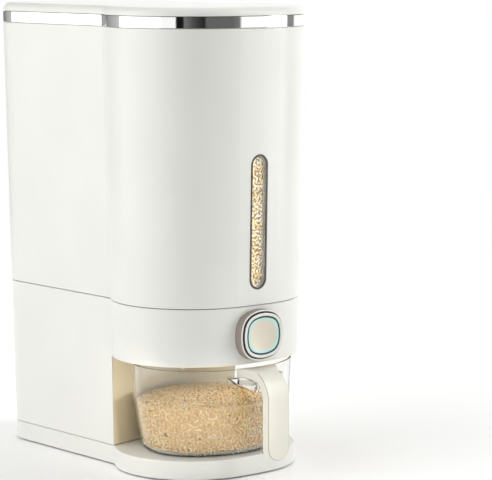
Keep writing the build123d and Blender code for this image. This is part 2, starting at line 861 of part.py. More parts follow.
def cup_outline(grow):
    """Oval of four arcs: broad in front and behind, tighter at the sides."""
    side_x = cup_half_width - cup_side_radius
    front_y_centre = cup_front_radius - cup_half_depth()
    turn = degrees(atan2(front_y_centre, side_x))
    broad = cup_front_radius + grow
    tight = cup_side_radius + grow
    arcs = [
        CenterArc((0, front_y_centre), broad, turn - 180, 180 - 2 * turn),
        CenterArc((side_x, 0), tight, -turn, 2 * turn),
        CenterArc((0, -front_y_centre), broad, turn, 180 - 2 * turn),
        CenterArc((-side_x, 0), tight, 180 - turn, 2 * turn),
    ]
    return Pos(0, cup_centre) * make_face(arcs)


def cup_solid(z0, z1, inset):
    """Cup drawn in by inset between two heights, with the shoulder between its two slopes rounded."""
    sections = [Pos(0, 0, z) * cup_outline(cup_growth(z) - inset) for z in (z0, shoulder_z, z1)]
    solid = loft(sections, ruled=True)
    at_shoulder = solid.edges().filter_by_position(Axis.Z, shoulder_z - seat_gap, shoulder_z + seat_gap)
    return fillet(at_shoulder, cup_shoulder_radius - inset)


cup_face_y = cup_front_y(cup_rim_z)
root_y = cup_face_y + handle_thickness
strap_front_y = cup_face_y - handle_reach
lug_z = strap_under_z - lug_depth
tongue_z = strap_under_z - tongue_drop
lug_seat_z = tongue_z - lug_seat
lug_screw_points = mirrored([(lug_screw_spacing / 2, cup_face_y - lug_screw_reach)])


def flare(root_width, neck_width, end_y):
    """Plan that is wide at the cup's face and narrows to the strap's width, as far as end_y."""
    root_x = root_width / 2
    neck_x = neck_width / 2
    neck_y = cup_face_y - handle_flare_length
    points = [(root_x, root_y), (root_x, cup_face_y), (neck_x, neck_y), (neck_x, strap_front_y - over)]
    other = [(-x, y) for x, y in reversed(points)]
    plan = make_face(Polyline(*points, *other, close=True))
    depth = root_y - end_y
    return plan & Pos(0, end_y + depth / 2) * Rectangle(2 * root_width, depth)


def tongue(gap, top_z):
    """Root of the handle that sinks into the clear lug, grown by gap."""
    narrower = 2 * (gap - tongue_inset)
    plan = flare(handle_root_width + narrower, handle_width + narrower, cup_face_y - tongue_length - gap)
    return extrude(Pos(0, 0, tongue_z - gap) * plan, amount=top_z - tongue_z + gap)


def strap_inside(gap):
    """Side view of the space behind the strap, kept clear of it by gap."""
    front = strap_front_y + handle_thickness + gap
    top = strap_under_z - gap
    face = make_face(Polyline((root_y, top), (front, top), (front, deck_z), (root_y, deck_z), close=True))
    return fillet(face.vertices().sort_by(Axis.X)[:2].sort_by(Axis.Y)[-1],
                  handle_bend_radius - handle_thickness - gap)


def strap_outside():
    """Side view of everything inside the strap's outer face."""
    face = make_face(Polyline(
        (root_y, strap_top_z),
        (strap_front_y, strap_top_z),
        (strap_front_y, strap_end_z),
        (root_y, strap_end_z),
        close=True,
    ))
    return fillet(face.vertices().sort_by(Axis.X)[:2].sort_by(Axis.Y)[-1], handle_bend_radius)


def make_measuring_cup():
    outer = cup_solid(cup_z, cup_rim_z, 0)
    outer = fillet(bottom_edges(outer), cup_foot_radius)
    hollow = cup_solid(cup_z + cup_floor, cup_rim_z + over, cup_wall)
    hollow = fillet(bottom_edges(hollow), cup_foot_radius - cup_wall)
    nose_y = cup_face_y - lug_length
    plan = flare(lug_root_width, handle_width - handle_edge, nose_y)
    lug = extrude(Pos(0, 0, lug_z) * plan, amount=lug_depth)
    lug &= extrude(Plane.YZ * strap_inside(fit_gap), amount=lug_root_width, both=True)
    lug &= rod_y(0, nose_y - over, root_y + over, lug_z + lug_radius, lug_radius)
    lug -= tongue(fit_gap, strap_under_z + over)
    part = outer + lug - hollow
    for x, y in lug_screw_points:
        part -= rod(x, y, lug_z - over, lug_seat_z, screw_head_radius + fit_gap)
    part -= screw_holes(lug_screw_points, lug_z, strap_under_z + over)
    return part


def make_cup_handle():
    part = extrude(Plane.YZ * (strap_outside() - strap_inside(0)), amount=handle_root_width, both=True)
    plan = flare(handle_root_width, handle_width, strap_front_y - over)
    part &= extrude(Pos(0, 0, strap_end_z) * plan, amount=strap_top_z - strap_end_z)
    half = handle_width / 2
    round_end = rod_y(0, strap_front_y - over, root_y, strap_end_z + half, half)
    above_end = block(-handle_root_width, handle_root_width, strap_front_y - over, root_y,
                      strap_end_z + half, strap_top_z)
    part &= round_end + above_end
    long_edges = part.edges().filter_by(lambda edge: edge.center().Y < cup_face_y)
    part = fillet(long_edges, handle_edge)
    part += tongue(0, strap_under_z + handle_edge)
    part -= cup_solid(cup_z, strap_top_z + over, -stop_gap)
    part -= screw_holes(lug_screw_points, tongue_z - over, tongue_z + screw_bite)
    return part


def make_handle_screws():
    length = lug_seat + screw_bite - screw_end_gap
    return Part() + [screw(x, y, lug_seat_z, length) for x, y in lug_screw_points]


pieces = {
    "base_plinth": make_base_plinth(),
    "bottom_cover": make_bottom_cover(),
    "rubber_feet": make_rubber_feet(),
    "cover_screws": make_cover_screws(),
    "base_housing": make_base_housing(),
    "housing_screws": make_housing_screws(),
    "alcove_ceiling": make_alcove_ceiling(),
    "ceiling_screws": make_ceiling_screws(),
    "drop_chute": make_drop_chute(),
    "gate_rail_left": make_gate_rail_left(),
    "gate_rail_right": make_gate_rail_right(),
    "outlet_plate": make_outlet_plate(),
    "gate_screws": make_gate_screws(),
    "gate_plate": make_gate_plate(),
    "arm_screw": make_arm_screw(),
    "funnel_gasket": make_funnel_gasket(),
    "hopper_funnel": make_hopper_funnel(),
    "button_collar": make_button_collar(),
    "button_rim": make_button_rim(),
    "button_ring": make_button_ring(),
    "button_cap": make_button_cap(),
    "button_carrier": make_button_carrier(),
    "button_screw": make_button_screw(),
    "push_rod": make_push_rod(),
    "stem_guide": make_stem_guide(),
    "guide_screws": make_guide_screws(),
    "return_spring": make_return_spring(),
    "bin_shell": make_bin_shell(),
    "bin_screws": make_bin_screws(),
    "window_frame": make_window_frame(),
    "window_lens": make_window_lens(),
    "window_retainer": make_window_retainer(),
    "hinge_pin": make_hinge_pin(),
    "lid_top": make_lid_top(),
    "lid_band": make_lid_band(),
    "lid_inner": make_lid_inner(),
    "lid_seal": make_lid_seal(),
    "lid_screws": make_lid_screws(),
    "measuring_cup": make_measuring_cup(),
    "cup_handle": make_cup_handle(),
    "handle_screws": make_handle_screws(),
}

# The origin goes under the middle of the whole object
middle_y = (strap_front_y + hinge_y() + hinge_barrel_radius) / 2
os.makedirs("parts", exist_ok=True)
for name, piece in pieces.items():
    export_step(Pos(0, -middle_y, 0) * piece, f"parts/{name}.step")
print("origin is", round(middle_y, 3), "mm behind the drum axis; height", round(top_z, 3))
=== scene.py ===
"""Studio scene of a countertop rice dispenser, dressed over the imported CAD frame.

Everything is in metres in the frame's own axes: +Z up, the front faces -Y.
"""
import json
import math
import random

import bmesh
import bpy
from mathutils import Euler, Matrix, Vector


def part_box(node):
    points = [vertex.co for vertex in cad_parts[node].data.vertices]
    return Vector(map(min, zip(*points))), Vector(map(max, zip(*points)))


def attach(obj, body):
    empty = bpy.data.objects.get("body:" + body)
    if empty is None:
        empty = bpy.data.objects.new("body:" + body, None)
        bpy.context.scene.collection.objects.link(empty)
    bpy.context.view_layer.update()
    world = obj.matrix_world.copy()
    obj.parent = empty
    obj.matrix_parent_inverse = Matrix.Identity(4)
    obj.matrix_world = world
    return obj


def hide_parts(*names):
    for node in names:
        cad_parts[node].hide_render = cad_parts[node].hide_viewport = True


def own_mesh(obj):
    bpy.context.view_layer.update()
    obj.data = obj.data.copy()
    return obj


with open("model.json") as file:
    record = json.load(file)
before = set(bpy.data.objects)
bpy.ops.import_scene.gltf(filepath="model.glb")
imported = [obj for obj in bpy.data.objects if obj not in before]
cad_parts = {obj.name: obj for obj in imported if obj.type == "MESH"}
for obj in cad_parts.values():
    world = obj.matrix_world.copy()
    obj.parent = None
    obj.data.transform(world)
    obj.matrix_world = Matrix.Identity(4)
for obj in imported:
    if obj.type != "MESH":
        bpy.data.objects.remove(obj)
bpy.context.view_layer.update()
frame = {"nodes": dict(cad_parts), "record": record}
nodes = frame["nodes"]
scene = bpy.context.scene
MM = 0.001

# Camera, from a fit of the body's outline to the photograph
CAMERA_PLACE = (-1.45003, -1.84437, 0.50496)
CAMERA_YAW = 0.7035
CAMERA_PITCH = 0.1232
FOCAL_PX = 2361.0
IMAGE_WIDTH_PX = 492
SENSOR_WIDTH = 36.0

# Rice grain, and how its size and tint vary
GRAIN_LENGTH = 4.9 * MM
GRAIN_WIDTH = 2.4 * MM
GRAIN_HEIGHT = 2.1 * MM
GRAIN_SPACING = 2.7 * MM
GRAIN_LAYER_DEPTH = 1.8 * MM
GRAIN_SEGMENTS = 6
GRAIN_RINGS = 4
GRAIN_FULLNESS = 0.8
GRAIN_SIZES = (0.88, 1.08)
GRAIN_TINT_SPREAD = 0.18

# Spread in radians of how far grains tip out of the surface that they lie on
HEAP_TILT = 0.35
CUP_WALL_TILT = 0.22
WINDOW_TILT = 0.15

# Places tried for grains, of which the crowded ones are dropped
CUP_WALL_TRIES = 14000
CUP_HEAP_TRIES = 11000
HOPPER_HEAP_TRIES = 40000
WINDOW_TRIES = 4000

# Layers of grains: name, depth under the surface and mean paleness; the deeper layer is darker as painted
# shade between grains, and the window's grains are paler than the cup's as painted light
CUP_LAYERS = (("outer", 0.0, 0.62), ("inner", GRAIN_LAYER_DEPTH, 0.34))
WINDOW_LAYERS = (("outer", 0.0, 0.92), ("inner", GRAIN_LAYER_DEPTH, 0.55))
HOPPER_PALENESS = 0.62
# Dark tint of the body under the grains, painted shade in the gaps between them
HEAP_BODY_SHADE = 0.35

# Inside of the cup, and the rice in it
WALL_GAP = 0.4 * MM
CUP_FLOOR = 3.0 * MM
CUP_RIM_STEP = 0.5 * MM
CUP_UPPER_HEIGHT = 34.0 * MM
CUP_UPPER_SLOPE = math.tan(math.radians(2.0))
CUP_LOWER_SLOPE = math.tan(math.radians(9.4))
CUP_FOOT_RADIUS = 6.8 * MM
CUP_RICE_EDGE_Z = 67.0 * MM
CUP_RICE_CROWN_Z = 77.0 * MM
CUP_RICE_GAP = 2.6 * MM
CUP_CROWN_SHARPNESS = 1.3
CUP_LOOP_POINTS = 96
CUP_HEAP_RINGS = 8
CUP_SEED = 11

# Inside of the hopper, and the rice in it
BIN_DRAFT = math.radians(1.24)
FUNNEL_Z = 146.0 * MM
FUNNEL_SLOPE = math.radians(30.0)
FUNNEL_SIDE_SLOPE = math.radians(40.0)
THROAT_HALF_X = 33.5 * MM
THROAT_HALF_Y = 20.5 * MM
WINDOW_RETAINER = 1.6 * MM
HOPPER_RICE_Z = 330.0 * MM
HOPPER_RICE_RELIEF = 14.0 * MM
HOPPER_SINK_REACH = 70.0 * MM
HOPPER_RICE_GAP = 4.0 * MM
HOPPER_LOOP_POINTS = 160
HOPPER_HEAP_RINGS = 10
HOPPER_SEED = 23

# Ripples of the hopper's rice: share of the relief, radians per metre along X and Y, and phase
BROAD_RIPPLE = 0.35
BROAD_WAVES = (38.0, 27.0)
BROAD_PHASES = (1.0, 0.6)
FINE_RIPPLE = 0.2
FINE_WAVES = (44.0, 71.0)

# How meshes are cut and measured
MERGE_DISTANCE = 0.001 * MM
SLOPE_STEP = 1.0 * MM

# Zones of colour on the CAD nodes, where shade and glow are painted
ALCOVE_HALF_WIDTH = 76.4 * MM
ALCOVE_BACK_Y = -10.0 * MM
CHIN_Z = 111.6 * MM
CAP_SQUARENESS = 2.4
CAP_EDGE_START = 0.74
CAP_EDGE_BLEND = 0.85
FRONT_LIP = 0.8 * MM
STRAP_HALF_WIDTH = 13.25 * MM
STRAP_EDGE = 0.7 * MM
STRAP_SIDE_MARGIN = 0.12 * MM
STRAP_STRAIGHT = 16.0 * MM
SEAM_REVEAL = 0.9 * MM
TRIM_REVEAL = 0.7 * MM
SEAM_MARGIN = 0.1 * MM

# Tones of the materials: a colour and the shade that mottles it
BODY_TONES = ((0.755, 0.755, 0.728), (0.735, 0.735, 0.707))
# Warm tone painted on the alcove's walls and ceiling as shade warmed by the rice
WARM_SHADE_TONES = ((0.84, 0.75, 0.56), (0.81, 0.71, 0.52))
CREAM_TONES = ((0.77, 0.75, 0.67), (0.75, 0.73, 0.65))
CAP_TONES = ((0.70, 0.64, 0.53), (0.66, 0.60, 0.49))
INNER_TONES = ((0.72, 0.72, 0.68), (0.66, 0.66, 0.62))
TRIM_TONES = ((0.050, 0.036, 0.026), (0.038, 0.028, 0.020))
TEAL_TONES = ((0.006, 0.045, 0.045), (0.009, 0.060, 0.060))
FOOT_TONES = ((0.020, 0.020, 0.020), (0.032, 0.032, 0.031))
SEAL_TONES = ((0.70, 0.70, 0.67), (0.64, 0.64, 0.61))
CHROME_TONES = ((0.88, 0.88, 0.87), (0.84, 0.84, 0.83))
STEEL_TONES = ((0.60, 0.59, 0.57), (0.50, 0.49, 0.48))
FLOOR_TONES = ((0.985, 0.985, 0.985), (0.975, 0.975, 0.975))

# Single colours: zones of painted shade and glow, clear plastic and what it lets through to lamps, and
# rice from dark to pale
# Dark tone painted on the strap's rounded edges as shade
STRAP_EDGE_SHADE = (0.36, 0.33, 0.28)
# Cyan glow painted at the button cap's edge
CYAN_EDGE_GLOW = (0.42, 0.78, 0.76)
# Taupe painted shade on the button collar's side behind its lip
COLLAR_SIDE_SHADE = (0.30, 0.25, 0.22)
# Dark painted shade on the button rim's side wall behind its lip
RIM_SIDE_SHADE = (0.05, 0.045, 0.04)
# Dark painted shade in the seams' recesses
SEAM_SHADE = (0.20, 0.19, 0.17)
CLEAR_TINT = (0.985, 0.985, 0.98)
LAMP_WAY_TINT = (0.97, 0.97, 0.965)
RICE_TONES = (
    (0.0, (0.30, 0.16, 0.06)),
    (0.15, (0.72, 0.48, 0.22)),
    (0.6, (0.93, 0.72, 0.40)),
    (0.9, (0.95, 0.82, 0.54)),
    (1.0, (0.96, 0.91, 0.76)),
)
RICE_SPECKLE_TONE = (0.72, 0.54, 0.30)
RICE_SPECKLE_SHARE = 0.25

# Roughness of the materials, from low to high
BODY_ROUGHNESS = (0.30, 0.38)
WARM_ROUGHNESS = (0.36, 0.46)
CREAM_ROUGHNESS = (0.28, 0.36)
INNER_ROUGHNESS = (0.42, 0.52)
TRIM_ROUGHNESS = (0.34, 0.46)
TEAL_ROUGHNESS = (0.20, 0.30)
FOOT_ROUGHNESS = (0.65, 0.80)
SEAL_ROUGHNESS = (0.55, 0.68)
CHROME_ROUGHNESS = (0.03, 0.07)
STEEL_ROUGHNESS = (0.24, 0.36)
CLEAR_ROUGHNESS = (0.0, 0.03)
FLOOR_ROUGHNESS = (0.7, 0.8)
RICE_ROUGHNESS = (0.45, 0.62)
CLEAR_IOR = 1.49

# Noise in the materials: the span that it mostly keeps to, its detail and its scales
NOISE_SPAN = (0.3, 0.7)
NOISE_DETAIL = 2.0
CLOUD_DETAIL = 3.0
MOTTLE_SCALE = 18.0
GLOSS_SCALE = 60.0
METAL_CLOUD_SCALE = 40.0
METAL_GLOSS_SCALE = 120.0
CLEAR_GLOSS_SCALE = 90.0
CLEAR_WAVE_SCALE = 45.0
RICE_SPECKLE_SCALE = 900.0
RICE_GLOSS_SCALE = 500.0

# Bumps of the materials: noise scale and depth
PLASTIC_GRAIN = (1400.0, 0.012 * MM)
FOOT_GRAIN = (700.0, 0.03 * MM)
SEAL_GRAIN = (700.0, 0.02 * MM)
METAL_SCRATCHES = (900.0, 0.004 * MM)
CUP_WAVES = (CLEAR_WAVE_SCALE, 0.008 * MM)
LENS_WAVES = (CLEAR_WAVE_SCALE, 0.004 * MM)
RICE_GRAIN = (1800.0, 0.05 * MM)

# Lamps that no view or reflection shows; spread is in degrees and power in watts
LAMPS = {
    "front_lamp": dict(
        place=(-0.30, -1.35, 0.16), aim=(0.0, -0.10, 0.12), size=(0.5, 0.3),
        spread=180.0, power=0.8, colour=(1.0, 0.99, 0.96),
    ),
    "cup_lamp": dict(
        place=(-0.09, -0.42, 0.10), aim=(-0.05, -0.09, 0.055), size=(0.05, 0.03),
        spread=26.0, power=0.011, colour=(1.0, 0.95, 0.86),
    ),
    "chin_lamp": dict(
        place=(0.0, -0.125, 0.1093), aim=(0.0, -0.03, 0.03), size=(0.13, 0.03),
        spread=180.0, power=0.02, colour=(1.0, 0.86, 0.66),
    ),
    "side_lamp": dict(
        place=(-0.115, -0.13, 0.08), aim=(-0.072, -0.03, 0.06), size=(0.03, 0.05),
        spread=110.0, power=0.013, colour=(1.0, 0.88, 0.68),
    ),
    "window_lamp": dict(
        place=(0.0, -0.33, 0.235), aim=(0.0, -0.17, 0.235), size=(0.02, 0.16),
        spread=180.0, power=0.28, colour=(1.0, 0.95, 0.88),
    ),
}

# Studio walls: azimuth from the front in degrees, positive to the right, and brightness
STUDIO_RING = (
    (-180.0, 0.30), (-166.0, 0.45), (-145.6, 0.62), (-145.1, 2.1), (-82.0, 2.1), (-76.0, 1.1),
    (-58.6, 1.1), (-57.6, 0.01), (-48.5, 0.01), (-46.5, 0.19), (-36.0, 0.085), (-27.0, 0.04),
    (-20.5, 0.02), (-18.5, 0.14), (18.0, 0.14), (25.5, 0.19), (27.0, 1.2), (43.0, 1.2),
    (46.0, 6.2), (60.0, 6.2), (64.0, 0.28), (78.0, 0.28), (82.0, 1.2), (112.0, 1.2),
    (147.0, 1.3), (149.0, 0.25), (180.0, 0.25),
)
STUDIO_COLOUR = (1.0, 1.0, 0.985, 1.0)
WHITE = (1.0, 1.0, 1.0, 1.0)

# Studio ceiling: its brightness, and the heights of view between which the walls pass into it
CEILING_LEVEL = 0.95
CEILING_START = 0.75
CEILING_END = 0.85

# Floor
FLOOR_RADIUS = 1.6
FLOOR_SEGMENTS = 128


# Shader node helpers
def new_material(name):
    """Material with an empty node tree."""
    material = bpy.data.materials.new(name)
    material.use_nodes = True
    material.node_tree.nodes.clear()
    return material


def add(tree, kind, **settings):
    """Add a shader node and set its properties, or its inputs with _ for a space."""
    node = tree.nodes.new(kind)
    for key, value in settings.items():
        if hasattr(node, key):
            setattr(node, key, value)
        else:
            node.inputs[key.replace("_", " ")].default_value = value
    return node


def axis_sockets(tree, coordinates="Object"):
    """X, Y and Z as sockets, in the object's own coordinates unless others are named."""
    coords = add(tree, "ShaderNodeTexCoord")
    split = add(tree, "ShaderNodeSeparateXYZ")
    tree.links.new(coords.outputs[coordinates], split.inputs["Vector"])
    return split.outputs


def noise(tree, scale, detail=NOISE_DETAIL):
    """Fractal noise in the object's own coordinates, so that it stays on a moving piece."""
    coords = add(tree, "ShaderNodeTexCoord")
    texture = add(tree, "ShaderNodeTexNoise", Scale=scale, Detail=detail)
    tree.links.new(coords.outputs["Object"], texture.inputs["Vector"])
    return texture.outputs["Fac"]


def mapped(tree, value, low, high, span=NOISE_SPAN):
    """Stretch a value from a span to low..high."""
    node = add(tree, "ShaderNodeMapRange", From_Min=span[0], From_Max=span[1], To_Min=low, To_Max=high)
    tree.links.new(value, node.inputs["Value"])
    return node.outputs["Result"]


def mixed(tree, factor, first, second):
    """Blend two colours, each a value or a socket, by a factor socket."""
    node = add(tree, "ShaderNodeMix", data_type="RGBA")
    tree.links.new(factor, node.inputs["Factor"])
    for socket, colour in ((node.inputs["A"], first), (node.inputs["B"], second)):
        if isinstance(colour, bpy.types.NodeSocket):
            tree.links.new(colour, socket)
        else:
            socket.default_value = (*colour, 1.0)
    return node.outputs["Result"]


def math_node(tree, operation, first, second=0.0):
    """Result of an operation on one or two numbers, each a value or a socket."""
    node = add(tree, "ShaderNodeMath", operation=operation)
    for socket, value in zip(node.inputs, (first, second)):
        if isinstance(value, bpy.types.NodeSocket):
            tree.links.new(value, socket)
        else:
            socket.default_value = value
    return node.outputs["Value"]


def all_of(tree, zone, *others):
    """1 where every one of some zones is 1."""
    for other in others:
        zone = math_node(tree, "MULTIPLY", zone, other)
    return zone


def set_roughness(tree, shader, scale, roughness):
    """Uneven gloss: roughness that wanders from low to high."""
    gloss = mapped(tree, noise(tree, scale), *roughness)
    tree.links.new(gloss, shader.inputs["Roughness"])


def set_bump(tree, shader, scale, depth):
    """Fine bumps of a noise scale and a depth."""
    bump = add(tree, "ShaderNodeBump", Strength=1.0, Distance=depth)
    tree.links.new(noise(tree, scale), bump.inputs["Height"])
    tree.links.new(bump.outputs["Normal"], shader.inputs["Normal"])


def either(tree, factor, first, second):
    """The first shader where a factor socket is 0, the second where it is 1."""
    mix = add(tree, "ShaderNodeMixShader")
    tree.links.new(factor, mix.inputs["Fac"])
    tree.links.new(first.outputs[0], mix.inputs[1])
    tree.links.new(second.outputs[0], mix.inputs[2])
    return mix


def finish_tree(tree, shader, kind="ShaderNodeOutputMaterial"):
    """Send a shader to the output of a material, or of a world."""
    output = add(tree, kind)
    tree.links.new(shader.outputs[0], output.inputs["Surface"])


# Kinds of material
def moulded(name, tones, roughness, grain=PLASTIC_GRAIN, zones=()):
    """Moulded plastic or rubber: faint mottling, uneven gloss and a fine surface grain.

    zones are pairs of a function that makes a factor and the colour that the factor blends in.
    """
    material = new_material(name)
    tree = material.node_tree
    shader = add(tree, "ShaderNodeBsdfPrincipled")
    mottle = mapped(tree, noise(tree, MOTTLE_SCALE, CLOUD_DETAIL), 0.0, 1.0)
    skin = mixed(tree, mottle, *tones)
    for zone, zone_colour in zones:
        skin = mixed(tree, zone(tree), skin, zone_colour)
    tree.links.new(skin, shader.inputs["Base Color"])
    set_roughness(tree, shader, GLOSS_SCALE, roughness)
    set_bump(tree, shader, *grain)
    finish_tree(tree, shader)
    return material


def metal(name, tones, roughness):
    """Metal: cloudy tone, uneven polish and fine scratches."""
    material = new_material(name)
    tree = material.node_tree
    shader = add(tree, "ShaderNodeBsdfPrincipled", Metallic=1.0)
    cloud = mapped(tree, noise(tree, METAL_CLOUD_SCALE, CLOUD_DETAIL), 0.0, 1.0)
    tree.links.new(mixed(tree, cloud, *tones), shader.inputs["Base Color"])
    set_roughness(tree, shader, METAL_GLOSS_SCALE, roughness)
    set_bump(tree, shader, *METAL_SCRATCHES)
    finish_tree(tree, shader)
    return material


def clear(name, waves):
    """Clear moulded plastic with a slightly wavy skin, which lets lamp light through."""
    material = new_material(name)
    tree = material.node_tree
    shader = add(tree, "ShaderNodeBsdfPrincipled", IOR=CLEAR_IOR, Transmission_Weight=1.0)
    shader.inputs["Base Color"].default_value = (*CLEAR_TINT, 1.0)
    set_roughness(tree, shader, CLEAR_GLOSS_SCALE, CLEAR_ROUGHNESS)
    set_bump(tree, shader, *waves)
    lamp_way = add(tree, "ShaderNodeBsdfTransparent")
    lamp_way.inputs["Color"].default_value = (*LAMP_WAY_TINT, 1.0)
    path = add(tree, "ShaderNodeLightPath")
    finish_tree(tree, either(tree, path.outputs["Is Shadow Ray"], shader, lamp_way))
    return material


def rice_material():
    """Brown rice: each grain takes its tone from its tint, with a fine speckle."""
    material = new_material("rice")
    tree = material.node_tree
    shader = add(tree, "ShaderNodeBsdfPrincipled")
    tint = add(tree, "ShaderNodeAttribute", attribute_name="tint")
    ramp = add(tree, "ShaderNodeValToRGB")
    while len(ramp.color_ramp.elements) < len(RICE_TONES):
        ramp.color_ramp.elements.new(0.5)
    for element, (place, colour) in zip(ramp.color_ramp.elements, RICE_TONES):
        element.position = place
        element.color = (*colour, 1.0)
    tree.links.new(tint.outputs["Fac"], ramp.inputs["Fac"])
    speckle = mapped(tree, noise(tree, RICE_SPECKLE_SCALE), 0.0, RICE_SPECKLE_SHARE)
    skin = mixed(tree, speckle, ramp.outputs["Color"], RICE_SPECKLE_TONE)
    tree.links.new(skin, shader.inputs["Base Color"])
    set_roughness(tree, shader, RICE_GLOSS_SCALE, RICE_ROUGHNESS)
    set_bump(tree, shader, *RICE_GRAIN)
    finish_tree(tree, shader)
    return material


# Zones of colour: painted shade and glow
def own_box(name):
    """Corners of a node's mesh in the node's own coordinates."""
    corners = [Vector(c) for c in nodes[name].bound_box]
    return [Vector(pick(c[i] for c in corners) for i in range(3)) for pick in (min, max)]


def alcove_shade_zone(tree):
    """1 on the walls of the alcove behind the cup, where a warm tone is painted as shade, 0 on the rest of
    the housing.
    """
    axes = axis_sockets(tree)
    across = math_node(tree, "LESS_THAN", math_node(tree, "ABSOLUTE", axes["X"]), ALCOVE_HALF_WIDTH)
    front = math_node(tree, "LESS_THAN", axes["Y"], ALCOVE_BACK_Y)
    below = math_node(tree, "LESS_THAN", axes["Z"], CHIN_Z)
    return all_of(tree, across, front, below)


def strap_shade_zone(tree):
    """1 on the rounded edges of the handle's strap and of its round end, where dark shade is painted."""
    low = own_box("cup_handle")[0]
    axes = axis_sockets(tree)
    above_end = math_node(tree, "SUBTRACT", axes["Z"], low.z + STRAP_HALF_WIDTH)
    past_end = math_node(tree, "MINIMUM", above_end, 0.0)
    squares = [math_node(tree, "MULTIPLY", side, side) for side in (axes["X"], past_end)]
    reach = math_node(tree, "SQRT", math_node(tree, "ADD", *squares))
    outer = math_node(tree, "GREATER_THAN", reach, STRAP_HALF_WIDTH - STRAP_EDGE)
    off_side = math_node(tree, "LESS_THAN", reach, STRAP_HALF_WIDTH - STRAP_SIDE_MARGIN)
    front = math_node(tree, "LESS_THAN", axes["Y"], low.y + STRAP_STRAIGHT)
    return all_of(tree, outer, off_side, front)


def cap_glow_zone(tree):
    """0 in the middle of the button cap, rising towards its rounded-square edge, where a cyan glow is
    painted.
    """
    low, high = own_box("button_cap")
    axes = axis_sockets(tree)
    parts = []
    for axis, i in (("X", 0), ("Z", 2)):
        away = math_node(tree, "SUBTRACT", axes[axis], (low[i] + high[i]) / 2)
        share = math_node(tree, "DIVIDE", math_node(tree, "ABSOLUTE", away), (high[i] - low[i]) / 2)
        parts.append(math_node(tree, "POWER", share, CAP_SQUARENESS))
    reach = math_node(tree, "POWER", math_node(tree, "ADD", *parts), 1.0 / CAP_SQUARENESS)
    return mapped(tree, reach, 0.0, CAP_EDGE_BLEND, (CAP_EDGE_START, 1.0))


def behind_lip(name):
    """Zone of a node behind the narrow lip at its front, where its side is painted in shade."""
    edge_y = own_box(name)[0].y + FRONT_LIP

    def zone(tree):
        return math_node(tree, "GREATER_THAN", axis_sockets(tree)["Y"], edge_y)

    return zone


def seam_shade_zone(low_z, depth):
    """Zone of a node from a height up, as deep as a seam's recess, where the recess is painted dark as
    shade.
    """

    def zone(tree):
        height = axis_sockets(tree)["Z"]
        above = math_node(tree, "GREATER_THAN", height, low_z - SEAM_MARGIN)
        below = math_node(tree, "LESS_THAN", height, low_z + depth)
        return all_of(tree, above, below)

    return zone


# Materials of the CAD nodes
# Painted shade along the strap's rounded edges
strap_edge_shade = (strap_shade_zone, STRAP_EDGE_SHADE)
# Seam recesses painted dark as shade
bin_seam_shade = (seam_shade_zone(own_box("bin_shell")[0].z, SEAM_REVEAL), SEAM_SHADE)
housing_seam_shade = (seam_shade_zone(own_box("base_housing")[0].z, TRIM_REVEAL), SEAM_SHADE)
lid_seam_shade = (seam_shade_zone(own_box("lid_band")[1].z, TRIM_REVEAL), SEAM_SHADE)
# Warm painted shade on the alcove's walls behind the cup
alcove_warm_shade = (alcove_shade_zone, WARM_SHADE_TONES[0])
# Painted cyan glow towards the cap's edge
cap_glow = (cap_glow_zone, CYAN_EDGE_GLOW)
# Painted shade on the collar's side
collar_side_shade = (behind_lip("button_collar"), COLLAR_SIDE_SHADE)
# Painted shade on the rim's side wall, as a shadow gap
rim_side_shade = (behind_lip("button_rim"), RIM_SIDE_SHADE)

slot_materials = {
    "body_white": moulded("body_white", BODY_TONES, BODY_ROUGHNESS),
    "inner_plastic": moulded("inner_plastic", INNER_TONES, INNER_ROUGHNESS),
    "cream_plastic": moulded("cream_plastic", CREAM_TONES, CREAM_ROUGHNESS, zones=[strap_edge_shade]),
    "clear_plastic": clear("clear_plastic", CUP_WAVES),
    "dark_trim": moulded("dark_trim", TRIM_TONES, TRIM_ROUGHNESS),
    "teal_ring": moulded("teal_ring", TEAL_TONES, TEAL_ROUGHNESS),
    "chrome_band": metal("chrome_band", CHROME_TONES, CHROME_ROUGHNESS),
    "steel": metal("steel", STEEL_TONES, STEEL_ROUGHNESS),
    "foot_rubber": moulded("foot_rubber", FOOT_TONES, FOOT_ROUGHNESS, FOOT_GRAIN),
    "seal_rubber": moulded("seal_rubber", SEAL_TONES, SEAL_ROUGHNESS, SEAL_GRAIN),
}

# Nodes whose material differs from the rest of their slot
node_materials = {
    "bin_shell": moulded("bin_white", BODY_TONES, BODY_ROUGHNESS, zones=[bin_seam_shade]),
    "lid_top": moulded("lid_white", BODY_TONES, BODY_ROUGHNESS, zones=[lid_seam_shade]),
    "base_housing": moulded("housing_white", BODY_TONES, BODY_ROUGHNESS,
                            zones=[alcove_warm_shade, housing_seam_shade]),
    # Alcove ceiling in the warm tone of painted shade
    "alcove_ceiling": moulded("alcove_painted_shade", WARM_SHADE_TONES, WARM_ROUGHNESS),
    "button_cap": moulded("button_cream", CAP_TONES, CREAM_ROUGHNESS, zones=[cap_glow]),
    "button_collar": moulded("collar_white", BODY_TONES, BODY_ROUGHNESS, zones=[collar_side_shade]),
    "button_rim": moulded("rim_white", BODY_TONES, BODY_ROUGHNESS, zones=[rim_side_shade]),
    "window_lens": clear("lens_plastic", LENS_WAVES),
}


def dress_nodes():
    """Give every CAD node its own material or its slot's."""
    for subpart in frame["record"]["subparts"]:
        name = subpart["node"]
        material = node_materials.get(name, slot_materials[subpart["material_slot"]])
        for material_slot in nodes[name].material_slots:
            material_slot.material = material


def add_piece(name, mesh):
    """Add a mesh to the scene as a piece."""
    piece = bpy.data.objects.new(name, mesh)
    scene.collection.objects.link(piece)
    return piece


